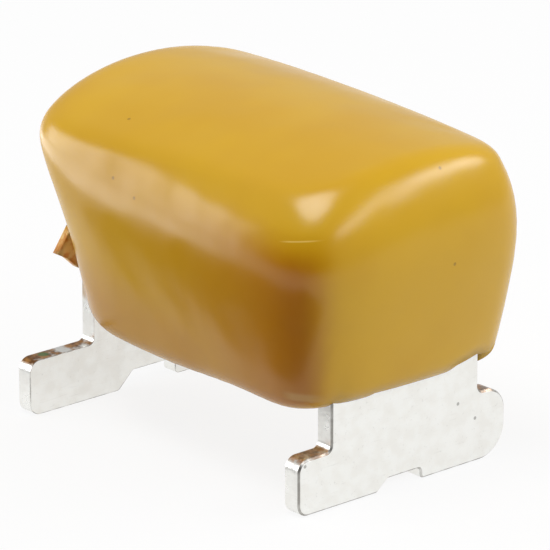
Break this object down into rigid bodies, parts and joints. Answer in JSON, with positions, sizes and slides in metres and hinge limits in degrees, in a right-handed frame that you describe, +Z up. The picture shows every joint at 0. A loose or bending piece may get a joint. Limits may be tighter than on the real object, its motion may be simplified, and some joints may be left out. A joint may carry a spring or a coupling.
{
  "type": "transient voltage suppressor diode",
  "caption": "Surface-mount surge suppressor: a dip-coated block standing on the feet of two upright sheet-copper leads.",
  "frame": {"origin": "centre of the bounding box at the plane of the solder lands: midway between the leads' outer faces and at the notches in the feet", "axes": "+X along the row of dice, from the narrow lead to the wide lead; +Y across, parallel to the leads; +Z up from the lands"},
  "size_m": [0.0145, 0.0097, 0.0107],
  "materials": {
    "epoxy": "gloss",
    "plated_copper": "satin",
    "silicon": "satin",
    "solder": "satin",
    "copper": "satin"
  },
  "bodies": {
    "root": {"copper_spacer_1": "copper", "copper_spacer_2": "copper", "copper_spacer_3": "copper", "copper_spacer_4": "copper", "copper_spacer_5": "copper", "copper_spacer_6": "copper", "copper_spacer_7": "copper", "end_spacer": "copper", "epoxy_coating": "epoxy", "narrow_lead": "plated_copper", "silicon_die_1": "silicon", "silicon_die_2": "silicon", "silicon_die_3": "silicon", "silicon_die_4": "silicon", "silicon_die_5": "silicon", "silicon_die_6": "silicon", "silicon_die_7": "silicon", "silicon_die_8": "silicon", "solder_layer_01": "solder", "solder_layer_02": "solder", "solder_layer_03": "solder", "solder_layer_04": "solder", "solder_layer_05": "solder", "solder_layer_06": "solder", "solder_layer_07": "solder", "solder_layer_08": "solder", "solder_layer_09": "solder", "solder_layer_10": "solder", "solder_layer_11": "solder", "solder_layer_12": "solder", "solder_layer_13": "solder", "solder_layer_14": "solder", "solder_layer_15": "solder", "solder_layer_16": "solder", "solder_layer_17": "solder", "wide_lead": "plated_copper"}
  },
  "joints": []
}
